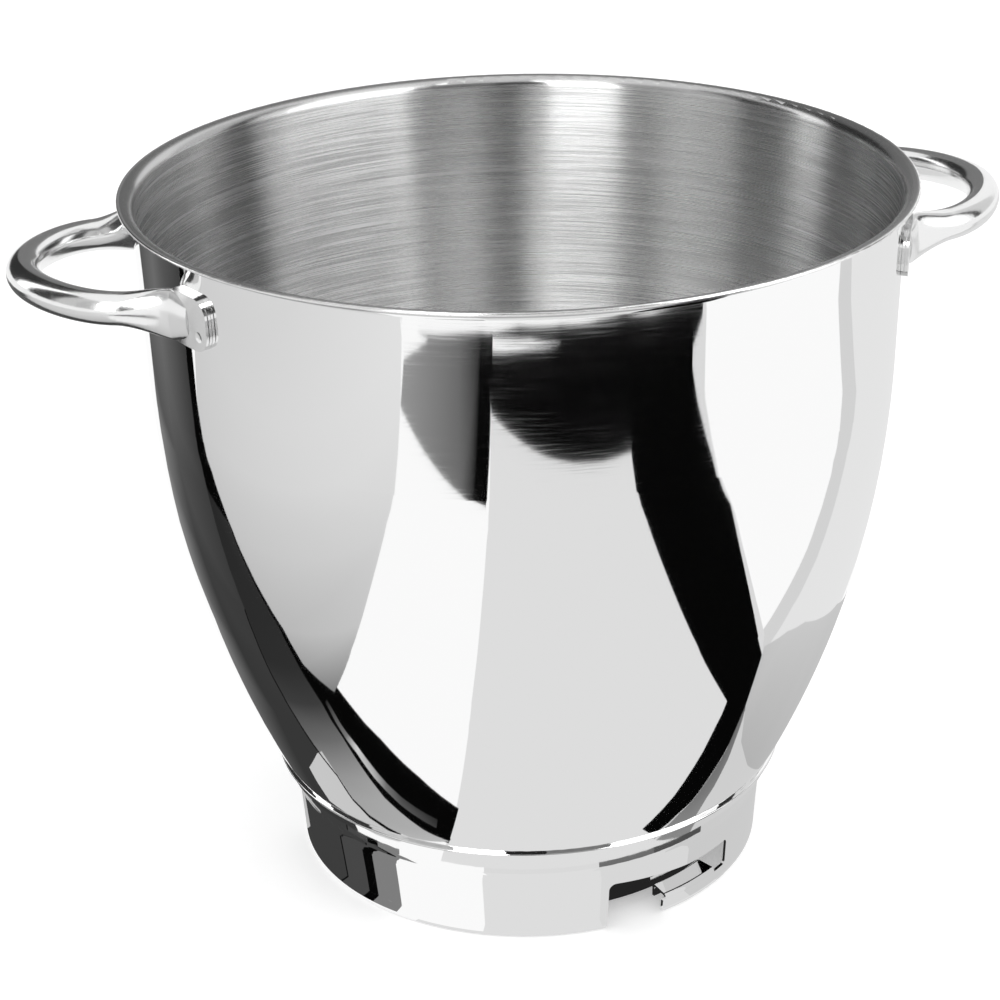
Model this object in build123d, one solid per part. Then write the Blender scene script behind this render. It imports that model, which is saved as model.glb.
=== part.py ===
from build123d import *
import os
from math import asin, atan2, cos, degrees, radians, sin, tan

# Stainless steel mixing bowl for a stand mixer. Sizes in millimetres, angles in degrees.
# Origin on the bowl's axis in the plane it stands on, +Z up, the two handles along X.

# Bowl, one deep-drawn sheet
rim_radius = 120.0
bowl_height = 222.0
wall = 1.0
wall_taper = 1.6
upper_depth = 55.5
base_gap = 2.0
base_corner = 6.0

# Lip, turned outwards from the same sheet
lip_flange = 2.1
lip_bend = 2.2
lip_lean = 82.0

# Foot ring, a pressed collar welded round the foot of the bowl
foot_radius = 75.2
foot_height = 34.7
foot_taper = 4.0
foot_wall = 1.0
shoulder_height = 22.2
shoulder_flare = 6.7
shoulder_bend = 8.0

# Bayonet slots of the foot ring, placed by azimuth from -Y towards +X
slot_count = 2
notch_start = 4.2
notch_end = 19.2
channel_end = 41.6
ramp_end = 27.0
notch_height = 16.6
channel_top = 14.3
notch_corner = 2.2
channel_corner = 1.5
lip_corner = 1.0
foot_corner = 1.5
punch_clearance = 0.1

# Ledge turned inwards from the foot ring under each channel
ledge_height = 6.0
ledge_rise = 8.0
ledge_bend = 1.4
ledge_return = 4.4
ledge_clearance = 0.8
ledge_setback = 0.9
ledge_relief = 4.6
ledge_inset = 0.04

# Handles, each a bent round tube with pressed ends
handle_drop = 17.7
tube_radius = 4.9
tube_wall = 1.0
grip_reach = 33.1
grip_width = 68.8
grip_tilt = 2.9
grip_pull = 0.505
neck_flare = 7.6
neck_lean = 45.0
neck_clearance = 0.1
neck_height = 15.4
neck_thickness = 4.2
press_reach = 9.2
press_lean = 13.0
press_steps = 4
tab_length = 15.9
tab_height = 15.8
tab_corner = 5.5
swage_length = 7.0
swage_height = 10.6
swage_step = 0.5
seam_width = 0.3
seam_depth = 0.9
weld_distance = 12.0
weld_spacing = 7.2
weld_radius = 1.6
weld_depth = 0.3

# Share of a sheet's thickness by which its cut edges are rounded
edge_share = 0.3
lip_edge_share = 0.45


def flat(radius, height):
    """A point of a profile in the XZ plane."""
    return Vector(radius, 0, height)


def leaning(angle):
    """Direction up a wall that leans outwards by an angle."""
    return flat(sin(radians(angle)), cos(radians(angle)))


def inwards(angle):
    """Direction into the bowl from a wall that leans outwards by an angle."""
    return flat(-cos(radians(angle)), sin(radians(angle)))


def outline(*paths):
    """Flat section bounded by the given edges."""
    return make_face(Wire([edge for path in paths for edge in path]))


# Foot ring's inner face, which the bowl's foot lies against above the shoulder
foot_inside = flat(foot_radius - foot_wall / cos(radians(foot_taper)), 0)
shoulder = foot_inside + shoulder_height * flat(tan(radians(foot_taper)), 1)
seam = flat(foot_radius + shoulder_flare, foot_height)
cone_lean = degrees(atan2(seam.X - shoulder.X, seam.Z - shoulder.Z))

# Bowl's outer face, worked out from the lip down
lip_end = flat(rim_radius, bowl_height) - wall * inwards(lip_lean)
lip_centre = lip_end - lip_flange * leaning(lip_lean) - lip_bend * inwards(lip_lean)
lip_start = lip_centre + lip_bend * inwards(wall_taper)
belly_top = bowl_height - upper_depth


def upper_wall_radius(height):
    """Outer radius of the straight upper wall."""
    return lip_start.X - (lip_start.Z - height) * tan(radians(wall_taper))


def cone_radius(height):
    """Outer radius of the bowl's conical foot."""
    return seam.X - (seam.Z - height) * tan(radians(cone_lean))


def bowl_face(inset):
    """Edges of the bowl's profile from the axis to the lip's end, set in from its outer face."""
    corner_radius = base_corner - inset
    low = base_gap + base_corner * (1 - sin(radians(cone_lean)))
    corner_centre = flat(cone_radius(low), low) + base_corner * inwards(cone_lean)
    corner_start = corner_centre - flat(0, corner_radius)
    corner_end = corner_centre - corner_radius * inwards(cone_lean)
    corner_middle = corner_centre - corner_radius * (inwards(cone_lean) + flat(0, 1)).normalized()
    cone_end = seam + inset * inwards(cone_lean)
    belly_end = flat(upper_wall_radius(belly_top), belly_top) + inset * inwards(wall_taper)
    cone_line = tan(radians(cone_lean))
    wall_line = tan(radians(wall_taper))
    gap = belly_end.X - cone_end.X - (belly_end.Z - cone_end.Z) * wall_line
    rise = gap / (cone_line - wall_line)
    crossing = cone_end + rise * flat(cone_line, 1)
    half_turn = radians(cone_lean - wall_taper) / 2
    pull = 4 / 3 * tan(half_turn / 2) / tan(half_turn)
    bend_radius = lip_bend + inset
    bend_start = lip_centre + bend_radius * inwards(wall_taper)
    bend_end = lip_centre + bend_radius * inwards(lip_lean)
    bend_middle = lip_centre + bend_radius * inwards((wall_taper + lip_lean) / 2)
    return [
        Line(flat(0, base_gap + inset), corner_start),
        ThreePointArc(corner_start, corner_middle, corner_end),
        Line(corner_end, cone_end),
        Bezier(
            cone_end,
            cone_end + pull * (crossing - cone_end),
            belly_end + pull * (crossing - belly_end),
            belly_end,
        ),
        Line(belly_end, bend_start),
        ThreePointArc(bend_start, bend_middle, bend_end),
        Line(bend_end, bend_end + lip_flange * leaning(lip_lean)),
    ]


def make_bowl():
    """The bowl: flat base, conical foot, bellied wall and a lip turned outwards."""
    outer = bowl_face(0)
    inner = bowl_face(wall)
    ends = [Line(outer[0] @ 0, inner[0] @ 0), Line(outer[-1] @ 1, inner[-1] @ 1)]
    section = outline(outer, inner, ends)
    edge = section.vertices().sort_by(Axis.X)[-2:]
    return revolve(fillet(edge, radius=lip_edge_share * wall), Axis.Z)


def ring_face(inset):
    """Edges of the foot ring's profile from its foot to its top, set out from its inner face."""
    bend_radius = shoulder_bend + foot_wall - inset
    reach = (shoulder_bend + foot_wall) * tan(radians(cone_lean - foot_taper) / 2)
    bend_centre = shoulder - reach * leaning(foot_taper)
    bend_centre -= (shoulder_bend + foot_wall) * inwards(foot_taper)
    bend_start = bend_centre + bend_radius * inwards(foot_taper)
    bend_end = bend_centre + bend_radius * inwards(cone_lean)
    bend_middle = bend_centre + bend_radius * inwards((foot_taper + cone_lean) / 2)
    return [
        Line(foot_inside + flat(inset / cos(radians(foot_taper)), 0), bend_start),
        ThreePointArc(bend_start, bend_middle, bend_end),
        Line(bend_end, seam - inset * inwards(cone_lean)),
    ]


def make_collar():
    """The foot ring before its slots are cut: a wall with a shoulder flared on to the bowl."""
    inner = ring_face(0)
    outer = ring_face(foot_wall)
    ends = [Line(inner[0] @ 0, outer[0] @ 0), Line(inner[-1] @ 1, outer[-1] @ 1)]
    section = outline(inner, outer, ends)
    section = fillet(section.vertices().sort_by(Axis.Z)[:2], radius=edge_share * foot_wall)
    top_edge = section.vertices().sort_by(Axis.X)[-1]
    return revolve(fillet(top_edge, radius=lip_edge_share * foot_wall), Axis.Z)


def slot_cutter():
    """Punch of one bayonet slot, a notch open at the bottom that leads into a channel."""
    middle = (notch_start + channel_end) / 2
    across = Vector(cos(radians(middle)), sin(radians(middle)), 0)
    outwards = Vector(sin(radians(middle)), -cos(radians(middle)), 0)

    def along(azimuth):
        """Distance along the punch's face at an azimuth on the foot ring."""
        return foot_radius * sin(radians(azimuth - middle))

    left = along(notch_start)
    right = along(notch_end)
    end = along(channel_end)
    lip_top = ledge_height - ledge_bend
    flare = 3 * foot_corner
    corners = [
        (left - flare, -foot_wall),
        (left - flare, -punch_clearance),
        (left, -punch_clearance),
        (left, notch_height),
        (along(ramp_end), channel_top),
        (end, channel_top),
        (end, lip_top),
        (right, lip_top),
        (right, -punch_clearance),
        (right + flare, -punch_clearance),
        (right + flare, -foot_wall),
    ]
    shape = make_face(Polyline(*corners, close=True))
    rounding = {2: foot_corner, 3: notch_corner, 5: channel_corner, 6: channel_corner}
    rounding |= {7: lip_corner, 8: foot_corner}
    for corner, radius in rounding.items():
        shape = fillet(shape.vertices().sort_by_distance(corners[corner])[0], radius=radius)
    face = Plane(origin=outwards * foot_radius / 2, x_dir=across, z_dir=outwards)
    return extrude(face * shape, amount=foot_radius)


def make_ledge():
    """The lip's top edge turned inwards, with its inner edge turned down again."""
    ledge_lean = ledge_rise - 90
    outer_foot = foot_inside + flat((foot_wall - ledge_inset) / cos(radians(foot_taper)), 0)
    start = outer_foot + (ledge_height - ledge_bend) * leaning(foot_taper)
    centre = start + ledge_bend * inwards(foot_taper)
    top_start = centre - ledge_bend * inwards(ledge_lean)
    bend_middle = centre - ledge_bend * inwards((foot_taper + ledge_lean) / 2)
    inner_radius = cone_radius(ledge_height) + ledge_clearance
    run = (top_start.X - inner_radius - ledge_bend) / cos(radians(ledge_rise))
    top_end = top_start + run * leaning(ledge_lean)
    edge_centre = top_end + ledge_bend * inwards(ledge_lean)
    edge_end = edge_centre - flat(ledge_bend, 0)
    edge_middle = edge_centre - ledge_bend * inwards((ledge_lean - 180) / 2)
    path = [
        Line(outer_foot + ledge_bend * leaning(foot_taper), start),
        ThreePointArc(start, bend_middle, top_start),
        Line(top_start, top_end),
        ThreePointArc(top_end, edge_middle, edge_end),
        Line(edge_end, edge_end - flat(0, ledge_return - ledge_bend)),
    ]
    sheet = foot_wall - 2 * ledge_inset
    section = make_face(offset(Wire(path), amount=sheet, side=Side.RIGHT, closed=True))
    first = notch_end + ledge_setback
    last = channel_end - ledge_relief
    return revolve(section.rotate(Axis.Z, first - 90), Axis.Z, last - first)


def make_foot_ring():
    """The foot ring with its bayonet slots and the ledge under each channel."""
    cutter = slot_cutter()
    ledge = make_ledge()
    ring = make_collar()
    for slot in range(slot_count):
        turn = slot * 360 / slot_count
        ring -= cutter.rotate(Axis.Z, turn)
        ring += ledge.rotate(Axis.Z, turn)
    return ring


# Handle's seat on the bowl's upper wall
handle_height = bowl_height - handle_drop
seat_radius = upper_wall_radius(handle_height)
neck_radius = seat_radius + neck_thickness / 2 + neck_clearance
neck_azimuth = degrees(asin((grip_width / 2 + neck_flare) / neck_radius))
tab_thickness = 2 * tube_wall


def along_seat(length):
    """Azimuth from the handle's middle at a length along the wall past the neck."""
    return neck_azimuth + degrees(length / seat_radius)


def beside(radius, azimuth, height):
    """A point at an azimuth from the handle's middle, on its -Y side."""
    return Vector(radius * cos(radians(azimuth)), -radius * sin(radians(azimuth)), height)


def along_wall(azimuth):
    """Direction along the bowl's wall away from the handle's middle, on its -Y side."""
    return beside(1, azimuth + 90, 0)


def grip_point(out, aside):
    """A point of the handle's centreline, its plane tilted up away from the bowl."""
    climb = (out - neck_radius * cos(radians(neck_azimuth))) * tan(radians(grip_tilt))
    return Vector(out, aside, handle_height + climb)


def bend(start, start_lean, end, end_lean, pull):
    """Curved edge of the centreline that leaves and arrives at the given angles from +X."""
    span = end - start
    leaving = Vector(cos(radians(start_lean)), sin(radians(start_lean)), 0)
    arriving = Vector(cos(radians(end_lean)), sin(radians(end_lean)), 0)
    turn = leaving.cross(arriving).Z
    first = start + pull * span.cross(arriving).Z / turn * leaving
    second = end - pull * leaving.cross(span).Z / turn * arriving
    return Bezier(*[grip_point(point.X, point.Y) for point in (start, first, second, end)])


def centreline():
    """Centreline of half the handle's tube: its pressed neck, then its grip."""
    neck = beside(neck_radius, neck_azimuth, 0)
    press_end = Vector(seat_radius + press_reach, -grip_width / 2, 0)
    middle = Vector(seat_radius + grip_reach, 0, 0)
    return [
        bend(neck, neck_lean, press_end, press_lean, grip_pull),
        bend(press_end, press_lean, middle, 90, grip_pull),
    ]


def oval(centre, along, height, thickness):
    """Section of the tube, an oval that stands upright."""
    return Plane(origin=centre, x_dir=(0, 0, 1), z_dir=along) * Ellipse(height / 2, thickness / 2)


def neck_way(line):
    """Direction of the tube's end section, halfway between the tube and its tab."""
    return (line % 0 - along_wall(neck_azimuth)).normalized()


def make_half_tube(inset):
    """The tube from its pressed neck to the handle's middle, set in from its outer face."""
    neck_line, grip_line = centreline()
    full = 2 * (tube_radius - inset)
    sections = []
    for step in range(press_steps + 1):
        place = step / press_steps
        ease = (1 - place) ** 2 * (1 + 2 * place)
        height = full + ease * (neck_height - 2 * tube_radius)
        thickness = full + ease * (neck_thickness - 2 * tube_radius)
        way = neck_line % place if step else neck_way(neck_line)
        sections.append(oval(neck_line @ place, way, height, thickness))
    neck = sweep(sections, path=neck_line, multisection=True)
    return neck + sweep(sections[-1], path=grip_line)


def make_tab():
    """The flattened end of the tube, curved to the bowl's wall and rounded at its end."""
    low = handle_height - tab_height / 2
    high = handle_height + tab_height / 2
    out = -tab_thickness * inwards(wall_taper)
    low_seat = flat(upper_wall_radius(low), low)
    high_seat = flat(upper_wall_radius(high), high)
    section = make_face(Polyline(low_seat, low_seat + out, high_seat + out, high_seat, close=True))
    last = along_seat(tab_length)
    tab = revolve(section.rotate(Axis.Z, -last), Axis.Z, last - neck_azimuth)
    end = beside(seat_radius, last, handle_height)
    ends = tab.edges().filter_by(GeomType.LINE).filter_by(lambda edge: edge.length < tab_height / 2)
    return fillet(ends.sort_by_distance(end)[:2], radius=tab_corner)


def make_swage():
    """Bulge of the flattened tube where it runs out from the neck on to the tab."""
    line = centreline()[0]
    tip_azimuth = along_seat(swage_length)
    tip = beside(seat_radius + tab_thickness / 2, tip_azimuth, handle_height)
    tip_thickness = tab_thickness + 2 * swage_step
    return loft(
        [
            oval(line @ 0, -neck_way(line), neck_height, neck_thickness),
            oval(tip, along_wall(tip_azimuth), swage_height, tip_thickness),
        ]
    )


def make_seat():
    """The space inside the bowl's upper wall, which the tabs are curved to."""
    low = handle_height - tab_height
    high = handle_height + tab_height
    corners = [flat(0, low), flat(upper_wall_radius(low), low)]
    corners += [flat(upper_wall_radius(high), high), flat(0, high)]
    return revolve(make_face(Polyline(*corners, close=True)), Axis.Z)


def make_weld_marks():
    """Shallow round marks where the tab is spot-welded to the bowl."""
    ball = (weld_radius * weld_radius + weld_depth * weld_depth) / (2 * weld_depth)
    marks = []
    for side in (-1, 1):
        height = handle_height + side * weld_spacing / 2
        out = upper_wall_radius(height) + tab_thickness + ball - weld_depth
        marks.append(Pos(*beside(out, along_seat(weld_distance), height)) * Sphere(ball))
    return marks


def make_seam():
    """Thin seam round the tab's end, between the two layers of the flattened tube."""
    low = handle_height - tab_height
    middle = flat(upper_wall_radius(low), low) - tab_thickness / 2 * inwards(wall_taper)
    half_width = seam_width / 2 * inwards(wall_taper)
    up = 2 * tab_height / cos(radians(wall_taper)) * leaning(wall_taper)
    corners = [middle - half_width, middle + half_width]
    corners += [middle + half_width + up, middle - half_width + up]
    section = make_face(Polyline(*corners, close=True))
    first = along_seat(tab_length - seam_depth)
    last = along_seat(tab_length + seam_depth)
    return revolve(section.rotate(Axis.Z, -last), Axis.Z, last - first)


def make_handle():
    """The handle on the +X side, seated on the bowl's upper wall."""
    end = make_tab() + make_swage() - make_seam()
    end = end - make_weld_marks() - make_seat()
    half = make_half_tube(0) - make_half_tube(tube_wall) + end
    return half + half.mirror(Plane.XZ)


os.makedirs("parts", exist_ok=True)
export_step(make_bowl(), "parts/bowl.step")
export_step(make_foot_ring(), "parts/foot_ring.step")
right_handle = make_handle()
export_step(right_handle, "parts/right_handle.step")
export_step(right_handle.mirror(Plane.YZ), "parts/left_handle.step")
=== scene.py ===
import math

import bpy
from mathutils import Matrix, Vector

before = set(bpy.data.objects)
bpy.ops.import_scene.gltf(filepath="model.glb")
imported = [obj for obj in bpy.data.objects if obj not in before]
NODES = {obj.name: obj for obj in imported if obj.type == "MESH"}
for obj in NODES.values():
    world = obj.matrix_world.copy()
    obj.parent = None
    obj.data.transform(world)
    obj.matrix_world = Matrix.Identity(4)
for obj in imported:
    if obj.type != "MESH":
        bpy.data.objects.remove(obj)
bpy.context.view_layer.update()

CAMERA_PLACE = Vector((-0.1736, -0.6961, 0.4409))
CAMERA_TURN = 13.40
CAMERA_DOWN = 24.44
CAMERA_ROLL = -1.34
LENS = 88.93
SENSOR_WIDTH = 36.0
VIEW_END = 50.0

# Zones of the bowl's surface, in metres
LIP_BOTTOM = 0.2192
LIP_EDGE = 0.1192
LIP_EDGE_WIDTH = 0.0003
POLISH_LOW = 0.10
POLISH_HIGH = 0.16

# Streaks of the bowl's surface: their number to a metre along and across them, detail and start of the noise
FINE_STREAKS = (22.0, 2900.0, 2.0, 0.0)
BROAD_STREAKS = (18.0, 1200.0, 1.0, 3.0)
POLISH_STREAKS = (60.0, 2100.0, 2.0, 7.0)
FINE_SHARE = 0.7
BROAD_SHARE = 0.3
GRAIN_RANGE = (0.35, 0.65)
POLISH_RANGE = (0.45, 0.75)
POLISH_DEPTH = 0.0000006
BRUSH_DEPTH = 0.000008

# Roughness and tone of the bowl's zones
MIRROR_ROUGH = 0.022
POLISH_ROUGH = 0.02
POLISH_LEAST = 0.25
MIRROR_TONE = 0.95
BRUSHED_ROUGH = (0.22, 0.30)
BRUSHED_TONE = (0.66, 0.88)
LIP_ROUGH = 0.22
LIP_TONE = 0.6
BRUSHED_TURN = 0.25

# Smears on the foot ring and the handles: their number to a metre, detail and range of the noise
SMEARS = 160.0
SMEAR_DETAIL = 3.0
SMEAR_RANGE = (0.35, 0.75)

FLOOR_SIZE = 12
FLOOR_DROP = 0.0005
FLOOR_TONE = 0.8
FLOOR_ROUGH = 0.9
FLOOR_GLOW = 0.35

# Greys of the studio's panels, as they are seen
WHITE = 255
PALE = 226
BLACK = 6


def linear(grey):
    """Scene-linear level of a grey from 0 to 255."""
    share = grey / 255
    return share / 12.92 if share <= 0.04045 else ((share + 0.055) / 1.055) ** 2.4


class Nodes:
    """A new material and short ways to add nodes to it."""

    def __init__(self, name):
        self.material = bpy.data.materials.new(name)
        self.material.use_nodes = True
        self.tree = self.material.node_tree
        self.shader = self.tree.nodes["Principled BSDF"]
        self.surface = self.tree.nodes["Material Output"].inputs["Surface"]

    def add(self, kind, **settings):
        """A new node with the given settings."""
        node = self.tree.nodes.new(kind)
        for key, value in settings.items():
            setattr(node, key, value)
        return node

    def connect(self, value, socket):
        """Links an output to a socket, or sets the socket to a plain value."""
        if isinstance(value, bpy.types.NodeSocket):
            self.tree.links.new(value, socket)
        else:
            socket.default_value = value

    def connect_all(self, values, sockets):
        """Connects each value to the socket in the same place."""
        for value, socket in zip(values, sockets):
            self.connect(value, socket)

    def shade(self, values):
        """Connects values to the shader's sockets by their names."""
        for name, value in values.items():
            self.connect(value, self.shader.inputs[name])

    def maths(self, operation, *values):
        """Output of a Math node on the given values."""
        node = self.add("ShaderNodeMath", operation=operation)
        self.connect_all(values, node.inputs)
        return node.outputs[0]

    def vector_maths(self, operation, *vectors, output="Vector"):
        """An output of a Vector Math node on the given vectors."""
        node = self.add("ShaderNodeVectorMath", operation=operation)
        self.connect_all(vectors, node.inputs)
        return node.outputs[output]

    def split(self, vector):
        """The three parts of a vector."""
        node = self.add("ShaderNodeSeparateXYZ")
        self.connect(vector, node.inputs[0])
        return list(node.outputs)

    def ramp(self, value, start, end, low, high):
        """Value mapped smoothly from start..end to low..high."""
        node = self.add("ShaderNodeMapRange", interpolation_type="SMOOTHSTEP")
        self.connect_all((value, start, end, low, high), node.inputs)
        return node.outputs[0]

    def blend(self, share, one, other):
        """Mix of two values, by a share from 0 to 1."""
        node = self.add("ShaderNodeMix", data_type="FLOAT")
        self.connect_all((share, one, other), [node.inputs[name] for name in ("Factor", "A", "B")])
        return node.outputs["Result"]

    def noise(self, vector, detail, start):
        """Value of a noise texture, one feature to a unit of the vector."""
        node = self.add("ShaderNodeTexNoise", noise_dimensions="4D")
        sockets = [node.inputs[name] for name in ("Vector", "W", "Scale", "Detail")]
        self.connect_all((vector, start, 1.0, detail), sockets)
        return node.outputs["Fac"]


def bowl_steel():
    """Steel of the bowl: mirror polished outside, satin on the lip, brushed round the inside."""
    nodes = Nodes("bowl_steel")
    coordinates = nodes.add("ShaderNodeTexCoord")
    place = coordinates.outputs["Object"]
    normal = coordinates.outputs["Normal"]
    x, y, z = nodes.split(place)
    flat = nodes.vector_maths("MULTIPLY", place, (1, 1, 0))
    radius = nodes.vector_maths("LENGTH", flat, output="Value")
    outwards = nodes.vector_maths("NORMALIZE", flat)
    facing_out = nodes.vector_maths("DOT_PRODUCT", outwards, normal, output="Value")
    facing_up = nodes.split(normal)[2]
    inside = nodes.maths("GREATER_THAN", nodes.maths("SUBTRACT", facing_up, facing_out), 0.0)
    on_lip = nodes.maths("GREATER_THAN", z, LIP_BOTTOM)
    off_lip = nodes.maths("SUBTRACT", 1.0, on_lip)
    brushed = nodes.maths("MULTIPLY", inside, off_lip)

    up_wall = nodes.maths("ADD", z, radius)

    def streaks(along, across, detail, start):
        """Noise that is long round the axis and short up the wall."""
        combine = nodes.add("ShaderNodeCombineXYZ")
        scaled = [nodes.maths("MULTIPLY", *pair) for pair in ((x, along), (y, along), (up_wall, across))]
        nodes.connect_all(scaled, combine.inputs)
        return nodes.noise(combine.outputs[0], detail, start)

    fine = streaks(*FINE_STREAKS)
    broad = streaks(*BROAD_STREAKS)
    polish = streaks(*POLISH_STREAKS)
    fine_part = nodes.maths("MULTIPLY", fine, FINE_SHARE)
    grain = nodes.maths("ADD", fine_part, nodes.maths("MULTIPLY", broad, BROAD_SHARE))

    worn = nodes.ramp(z, POLISH_LOW, POLISH_HIGH, POLISH_LEAST, 1.0)
    lines = nodes.ramp(polish, *POLISH_RANGE, 0.0, POLISH_ROUGH)
    outside_rough = nodes.maths("MULTIPLY_ADD", lines, worn, MIRROR_ROUGH)
    inside_rough = nodes.ramp(grain, *GRAIN_RANGE, *BRUSHED_ROUGH)
    wall_rough = nodes.blend(brushed, outside_rough, inside_rough)

    inside_tone = nodes.ramp(grain, *GRAIN_RANGE, *BRUSHED_TONE)
    wall_tone = nodes.blend(brushed, MIRROR_TONE, inside_tone)
    lip_tone = nodes.ramp(radius, LIP_EDGE - LIP_EDGE_WIDTH, LIP_EDGE, LIP_TONE, MIRROR_TONE)
    tone = nodes.blend(on_lip, wall_tone, lip_tone)
    colour = nodes.add("ShaderNodeCombineColor")
    nodes.connect_all((tone, tone, tone), colour.inputs)

    polish_relief = nodes.maths("MULTIPLY", polish, POLISH_DEPTH)
    brush_relief = nodes.maths("MULTIPLY", fine, BRUSH_DEPTH)
    bump = nodes.add("ShaderNodeBump")
    nodes.connect(1.0, bump.inputs["Distance"])
    nodes.connect(nodes.blend(brushed, polish_relief, brush_relief), bump.inputs["Height"])
    tangent = nodes.add("ShaderNodeTangent", direction_type="RADIAL", axis="Z")

    nodes.shade({
        "Base Color": colour.outputs[0],
        "Metallic": 1.0,
        "Roughness": nodes.blend(on_lip, wall_rough, LIP_ROUGH),
        "Normal": bump.outputs[0],
        "Tangent": tangent.outputs[0],
        "Anisotropic": 1.0,
        "Anisotropic Rotation": BRUSHED_TURN,
    })
    return nodes.material


def polished_steel(name, tone, rough_low, rough_high):
    """Polished steel with faint smears."""
    nodes = Nodes(name)
    place = nodes.add("ShaderNodeTexCoord").outputs["Object"]
    scaled = nodes.vector_maths("MULTIPLY", place, (SMEARS, SMEARS, SMEARS))
    smears = nodes.noise(scaled, SMEAR_DETAIL, 0.0)
    nodes.shade({
        "Base Color": (tone, tone, tone, 1),
        "Metallic": 1.0,
        "Roughness": nodes.ramp(smears, *SMEAR_RANGE, rough_low, rough_high),
    })
    return nodes.material


def dress():
    """Gives each piece its steel."""
    handle_steel = polished_steel("handle_steel", tone=0.86, rough_low=0.15, rough_high=0.22)
    steels = {
        "bowl": bowl_steel(),
        "foot_ring": polished_steel("ring_steel", tone=0.95, rough_low=0.03, rough_high=0.07),
        "left_handle": handle_steel,
        "right_handle": handle_steel,
    }
    for name, steel in steels.items():
        materials = NODES[name].data.materials
        materials.clear()
        materials.append(steel)


def make_camera():
    """The camera at the photograph's place, given its heading, tilt and roll."""
    data = bpy.data.cameras.new("camera")
    data.lens = LENS
    data.sensor_width = SENSOR_WIDTH
    data.clip_end = VIEW_END
    camera = bpy.data.objects.new("camera", data)
    bpy.context.scene.collection.objects.link(camera)
    heading = Matrix.Rotation(math.radians(-CAMERA_TURN), 4, "Z")
    tilt = Matrix.Rotation(math.radians(90 - CAMERA_DOWN), 4, "X")
    roll = Matrix.Rotation(math.radians(CAMERA_ROLL), 4, "Z")
    camera.matrix_world = Matrix.Translation(CAMERA_PLACE) @ heading @ tilt @ roll
    bpy.context.scene.camera = camera


def make_glow():
    """Evenly lit surface, as bright as its corners say."""
    nodes = Nodes("panel")
    nodes.tree.nodes.remove(nodes.shader)
    corner = nodes.add("ShaderNodeAttribute", attribute_name="level")
    light = nodes.add("ShaderNodeEmission")
    nodes.connect(corner.outputs["Color"], light.inputs["Color"])
    nodes.connect(light.outputs[0], nodes.surface)
    return nodes.material


GLOW = make_glow()


def panel(name, corners, faces, levels):
    """A studio panel that only reflections show, with a level for each corner."""
    mesh = bpy.data.meshes.new(name)
    mesh.from_pydata(corners, [], faces)
    shades = mesh.color_attributes.new(name="level", type="FLOAT_COLOR", domain="POINT")
    for corner, level in zip(shades.data, levels):
        corner.color = (level, level, level, 1)
    mesh.materials.append(GLOW)
    card = bpy.data.objects.new(name, mesh)
    bpy.context.scene.collection.objects.link(card)
    card.visible_camera = False
    card.visible_diffuse = False
    card.visible_shadow = False
    card.visible_transmission = False


# Flat panels over the floor, in millimetres, each of one grey
PANELS = [
    ("ground", WHITE, [(-3000, -3000), (3000, -3000), (3000, 3000), (-3000, 3000)]),
    ("front_pale", PALE, [(-60, -85), (-50, -50), (50, -50), (52, -87), (77, -94), (108, -105), (115, -460),
                          (-192, -475)]),
    ("front_strip", WHITE, [(-155, -65), (-60, -85), (-170, -380), (-370, -362)]),
    ("front_black", BLACK, [(108, -105), (77, -94), (52, -87), (31, -83), (35, -77), (59, -74), (88, -76),
                            (114, -82), (150, -95), (262, -300), (273, -364), (276, -395), (278, -432),
                            (286, -468), (300, -486), (345, -502), (370, -530), (140, -608), (68, -612),
                            (-40, -612), (-150, -592), (-224, -562), (-192, -478), (115, -460)]),
    ("black_strip", WHITE, [(-224, -556), (-120, -582), (-36, -588), (-118, -570), (-216, -538)]),
    ("right_pale", 232, [(166, -101), (197, -77), (249, -51), (352, -11), (468, 38), (587, 2), (900, 0),
                         (900, 700), (400, 700), (211, 160), (172, 47), (100, -60)]),
    ("right_streak", 214, [(700, -60), (590, -67), (478, -28), (358, -52), (247, -85), (197, -101),
                           (158, -112), (150, -95), (197, -77), (249, -51), (352, -11), (468, 38),
                           (587, 2), (700, 0)]),
    ("right_edge", 222, [(150, -95), (164, -105), (188, -152), (240, -251), (297, -425), (362, -503),
                         (370, -530), (345, -502), (300, -486), (286, -468), (278, -432), (276, -395),
                         (273, -364), (262, -300)]),
    ("right_near", 210, [(108, -78), (148, -94), (150, -60), (120, -20), (110, 30), (60, 30),
                         (60, -30), (44, -66), (60, -67), (72, -67), (86, -70)]),
    ("left_black", BLACK, [(-447, 277), (-512, 325), (-640, 420), (-690, 360), (-546, 272), (-484, 262),
                           (-425, 217), (-393, 157), (-293, 69), (-208, -14), (-180, -30), (-159, -59),
                           (-115, -76), (-85, -83), (-59, -86), (-54, -68), (-65, -61), (-87, -51),
                           (-99, -48), (-124, -40), (-148, -25), (-175, -8), (-206, 32), (-287, 107),
                           (-317, 148)]),
]

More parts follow.
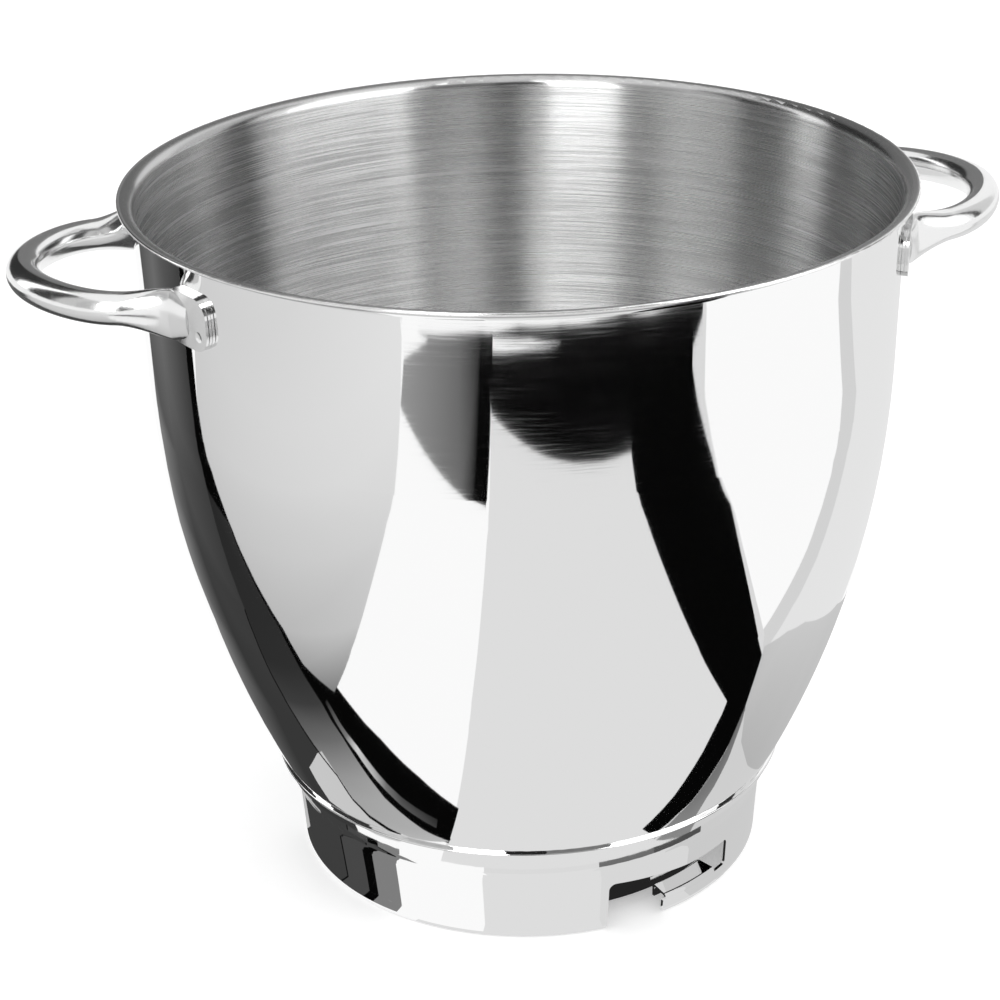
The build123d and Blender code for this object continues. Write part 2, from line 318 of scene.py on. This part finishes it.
# Ribbons between two lines over the floor: points and greys of one line, then of the other
RIBBONS = [
    ("left_soft",
     [(-154, -55, 130), (-177, -29, 165), (-206, -12, 188), (-293, 69, 200), (-425, 217, 206),
      (-546, 272, 208), (-900, 470, 210)],
     [(-158, -62, 130), (-176, -90, 172), (-195, -118, 200), (-270, -222, 214), (-370, -362, 228),
      (-410, -410, 230), (-700, -760, 232)]),
    ("left_band",
     [(-300, 700, 80), (-234, 462, 90), (-198, 347, 130), (-145, 238, 140), (-133, 137, 130), (-102, 77, 104),
      (-74, 24, 60)],
     [(-480, 640, 110), (-350, 420, 108), (-270, 260, 84), (-205, 160, 64), (-160, 80, 56), (-128, 30, 56),
      (-76, 3, 56)]),
    ("left_middle",
     [(-480, 640, 110), (-350, 420, 108), (-270, 260, 84), (-205, 160, 64), (-160, 80, 56), (-128, 30, 56),
      (-76, 3, 56)],
     [(-640, 420, 70), (-447, 277, 60), (-317, 148, 62), (-206, 52, 60), (-171, 26, 60), (-120, -18, 56),
      (-76, -26, 56)]),
    ("left_dark",
     [(-317, 148, 40), (-206, 52, 44), (-171, 28, 46), (-147, 9, 62), (-124, -9, 105), (-104, -25, 150),
      (-91, -30, 165), (-82, -37, 172), (-70, -50, 180)],
     [(-300, 80, 48), (-206, -6, 46), (-174, -23, 48), (-148, -37, 62), (-124, -45, 110), (-99, -51, 160),
      (-87, -54, 170), (-65, -63, 178), (-54, -69, 190)]),
    ("left_glint",
     [(-148, -40, 40), (-124, -47, 120), (-114, -51, 205), (-99, -54.5, 190), (-90, -57.5, 120),
      (-80, -61, 90), (-62, -69, 60)],
     [(-150, -44, 40), (-126, -51, 120), (-117, -54.5, 215), (-104, -58, 170), (-93, -61, 110),
      (-83, -64.5, 70), (-64, -73, 40)]),
    ("front_grey",
     [(-370, -362, 150), (-222, -376, 108), (-190, -378.5, BLACK), (-166, -380, BLACK)],
     [(-418, -440, 150), (-300, -520, 108), (-245, -552, BLACK), (-216, -562, BLACK)]),
    ("right_shade",
     [(120, -85, 110), (88, -76, 110), (59, -74, 120), (35, -76, 140)],
     [(108, -78, 150), (86, -69, 125), (72, -66, 125), (50, -64, 140)]),
    ("right_low",
     [(116, -84, 192), (98, -66, 184), (90, -42, 182), (88, -20, 184), (86, 20, 188), (80, 60, 194)],
     [(156, -97, 198), (176, -70, 204), (187, -40, 205), (188, 0, 204), (187, 50, 202), (165, 120, 200)]),
]
PANEL_GAP = 0.00005

# Panels over the ribbons
TOP_PANELS = [
    ("grey_notch", WHITE, [(-440, -436), (-362, -470), (-396, -404)]),
    ("left_light", 202, [(-115, -12), (-103, 4), (-95, 0), (-87, -6), (-84, -18), (-78, -32), (-68, -50),
                         (-70, -50), (-82, -37), (-91, -30), (-104, -25), (-117, -18)]),
    ("left_line", BLACK, [(-206, 52), (-171, 28), (-147, 9), (-124, -9), (-104, -25), (-91, -30), (-82, -37),
                          (-70, -50), (-69, -49), (-81, -36), (-90, -29), (-103.3, -24), (-123, -8),
                          (-146, 10), (-170, 29.3), (-205, 53.6)]),
    ("glint_line", BLACK, [(-150, -38), (-124, -45), (-99, -51), (-87, -54), (-65, -63), (-54, -69),
                           (-54, -70.5), (-65, -64.5), (-87, -56), (-99, -53), (-124, -47.2), (-150, -41)]),
]

# Low curtain round the foot, which the foot ring's wall reflects: from and to in degrees from +X, grey
FOOT_SECTORS = [
    (-215, -185, 190),
    (-185, -158.6, 62),
    (-158.6, -158, 10),
    (-158, -149.4, 72),
    (-149.4, -146, BLACK),
    (-146, -138.4, 128),
    (-138.4, -115.6, WHITE),
    (-115.6, -87, 226),
    (-87, -62, 220),
    (-62, 30, 206),
]

# Floor by the foot, which the lower half of the ring's flare reflects: from and to, grey
FLARE_SECTORS = [
    (-215, -190, 190),
    (-190, -167.4, 62),
    (-167.4, -166.8, 10),
    (-166.8, -157.4, 72),
    (-157.4, -153.1, BLACK),
    (-153.1, -144.7, 128),
    (-144.7, -117.5, WHITE),
    (-117.5, -84, 222),
    (-84, -66, 110),
    (-66, -47, 80),
    (-47, 30, 206),
]
FLARE_FAR = 0.0815
CURTAIN_RADIUS = 0.0785
CURTAIN_TOP = 0.0200
FOOT_EDGE = 0.0752

# Painted shade: a dark panel under the bowl, seen only in reflections, stands in for the shade there and
# shows in the slot
UNDER_SHADE_RADIUS = 0.074
UNDER_SHADE_GREY = 36

# Tall panels round the bowl, which its inside reflects: from and to in degrees from +X, level
WALLS = [
    (-180, -160, 0.62),
    (-160, -138, 0.48),
    (-138, -115, 4.4),
    (-115, -97, 0.02),
    (-97, -68, 0.2),
    (-68, -24, 2.6),
    (-24, -10, 1.1),
    (-10, 2, 0.03),
    (2, 30, 0.7),
    (60, 100, 0.2),
    (100, 141, 0.03),
    (141, 155, 1.6),
    (155, 180, 0.04),
]
WALL_DISTANCE = 1.6
WALL_BOTTOM = 0.27
WALL_TOP = 2.4

# Degrees between the corners of a round panel
STEP = 4


def on_circle(radius, azimuth, height):
    """A point at an azimuth from +X."""
    turn = math.radians(azimuth)
    return (radius * math.cos(turn), radius * math.sin(turn), height)


def spread(first, last):
    """Azimuths from first to last, about a step apart."""
    parts = max(2, round((last - first) / STEP))
    return [first + (last - first) * part / parts for part in range(parts + 1)]


def ribbon(name, one, other, levels):
    """A panel between two lines of as many points, its levels given line by line."""
    count = len(one)
    faces = [(at, at + 1, count + at + 1, count + at) for at in range(count - 1)]
    panel(name, one + other, faces, levels)


def round_panel(name, turns, one, other, level):
    """A panel round the axis at the given azimuths, between two circles given as radius and height."""
    lines = [[on_circle(radius, turn, height) for turn in turns] for radius, height in (one, other)]
    ribbon(name, *lines, [level] * 2 * len(turns))


def flat_panel(name, grey, points, height):
    """A panel of one grey over the floor, its corners in millimetres."""
    corners = [(x / 1000, y / 1000, height) for x, y in points]
    panel(name, corners, [range(len(corners))], [linear(grey)] * len(corners))


def make_floor_panels():
    """The panels over the floor, each a little above the one before. Returns the height above them all."""
    height = PANEL_GAP
    for name, grey, points in PANELS:
        flat_panel(name, grey, points, height)
        height += PANEL_GAP
    for name, one, other in RIBBONS:
        lines = [[(x / 1000, y / 1000, height) for x, y, grey in line] for line in (one, other)]
        ribbon(name, *lines, [linear(grey) for x, y, grey in one + other])
        height += PANEL_GAP
    for name, grey, points in TOP_PANELS:
        flat_panel(name, grey, points, height)
        height += PANEL_GAP
    return height


def make_foot_panels(height):
    """The curtain round the foot, the floor on both sides of it and a dark panel of painted shade under the
    bowl.
    """
    curtain_bottom = (CURTAIN_RADIUS, height)
    curtain_top = (CURTAIN_RADIUS, CURTAIN_TOP)
    for number, (first, last, grey) in enumerate(FOOT_SECTORS):
        turns = spread(first, last)
        level = linear(grey)
        round_panel("foot_strip_%d" % number, turns, (FOOT_EDGE, height), curtain_bottom, level)
        round_panel("foot_sector_%d" % number, turns, curtain_bottom, curtain_top, level)
    for number, (first, last, grey) in enumerate(FLARE_SECTORS):
        turns = spread(first, last)
        round_panel("flare_sector_%d" % number, turns, curtain_bottom, (FLARE_FAR, height), linear(grey))
    # Painted shade: a dark disc under the bowl, seen only in reflections
    round_panel("under", spread(0, 360), (0.0, height), (UNDER_SHADE_RADIUS, height), linear(UNDER_SHADE_GREY))


def make_walls():
    """The tall panels round the bowl."""
    bottom = (WALL_DISTANCE, WALL_BOTTOM)
    top = (WALL_DISTANCE, WALL_TOP)
    for number, (first, last, level) in enumerate(WALLS):
        round_panel("wall_%d" % number, (first, last), bottom, top, level)


def make_floor():
    """A plain pale floor, white to the camera where nothing shades it."""
    bpy.ops.mesh.primitive_plane_add(size=FLOOR_SIZE, location=(0, 0, -FLOOR_DROP))
    floor = bpy.context.object
    floor.name = "floor"
    nodes = Nodes("floor")
    nodes.shade({"Base Color": (FLOOR_TONE, FLOOR_TONE, FLOOR_TONE, 1), "Roughness": FLOOR_ROUGH})
    rays = nodes.add("ShaderNodeLightPath")
    light = nodes.add("ShaderNodeEmission")
    strength = nodes.maths("MULTIPLY", rays.outputs["Is Camera Ray"], FLOOR_GLOW)
    nodes.connect(strength, light.inputs["Strength"])
    both = nodes.add("ShaderNodeAddShader")
    nodes.connect_all((nodes.shader.outputs[0], light.outputs[0]), both.inputs)
    nodes.connect(both.outputs[0], nodes.surface)
    floor.data.materials.append(nodes.material)
    floor.visible_glossy = False


def make_world():
    """Soft even light, white behind the object."""
    world = bpy.data.worlds.new("studio")
    bpy.context.scene.world = world
    world.use_nodes = True
    background = world.node_tree.nodes["Background"]
    background.inputs["Color"].default_value = (1, 1, 1, 1)
    background.inputs["Strength"].default_value = 1.0


dress()
make_camera()
bpy.context.scene.view_settings.view_transform = "Standard"
make_foot_panels(make_floor_panels())
make_walls()
make_floor()
make_world()
